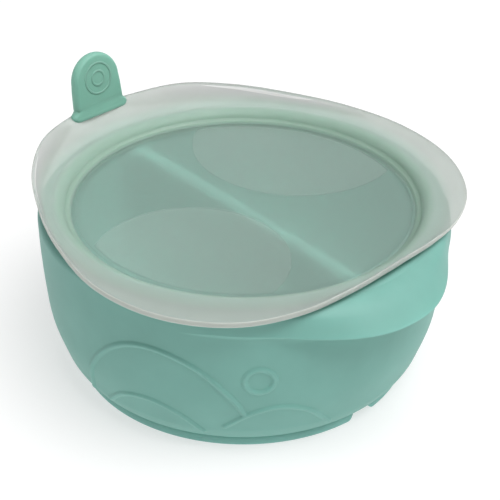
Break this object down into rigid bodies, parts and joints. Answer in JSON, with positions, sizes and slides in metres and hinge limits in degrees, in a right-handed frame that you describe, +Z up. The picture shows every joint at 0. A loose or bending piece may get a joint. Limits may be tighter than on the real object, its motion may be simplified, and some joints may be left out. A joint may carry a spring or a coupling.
{
  "type": "suction bowl",
  "caption": "Round divided suction bowl for a small child, with an overhanging gripping lip and a frosted push-on lid that has an upright pull tab.",
  "frame": {"origin": "centre of the bowl's base, on the table", "axes": "+Z up, +X from the centre towards the gripping lip along the divider"},
  "size_m": [0.1586, 0.1476, 0.0853],
  "materials": {
    "bowl_silicone": "matte mint-green silicone",
    "base_silicone": "matte mint-green silicone",
    "lid_silicone": "frosted translucent silicone",
    "tab_silicone": "matte mint-green silicone"
  },
  "bodies": {
    "bowl": {"bowl_wall": "bowl_silicone", "bowl_base": "bowl_silicone", "bowl_floor": "bowl_silicone", "divider_wall": "bowl_silicone", "grip_lip": "bowl_silicone", "suction_skirt": "base_silicone", "suction_cup": "base_silicone"},
    "lid": {"lid_panel": "lid_silicone", "lid_collar": "lid_silicone", "lid_brim": "lid_silicone", "tab_foot": "tab_silicone"},
    "tab": {"tab_blade": "tab_silicone"}
  },
  "joints": [
    {"name": "lid_lift", "type": "slide", "parent": "bowl", "child": "lid", "axis": [0, 0, 1], "range_m": [0, 0.06]},
    {"name": "tab_flex", "type": "hinge", "parent": "lid", "child": "tab", "pos_m": [-0.07514, -0.00486, 0.067], "axis": [-0.0645, 0.9979, 0], "range_deg": [-30, 30], "stiffness_Nm_per_rad": 0.027}
  ]
}
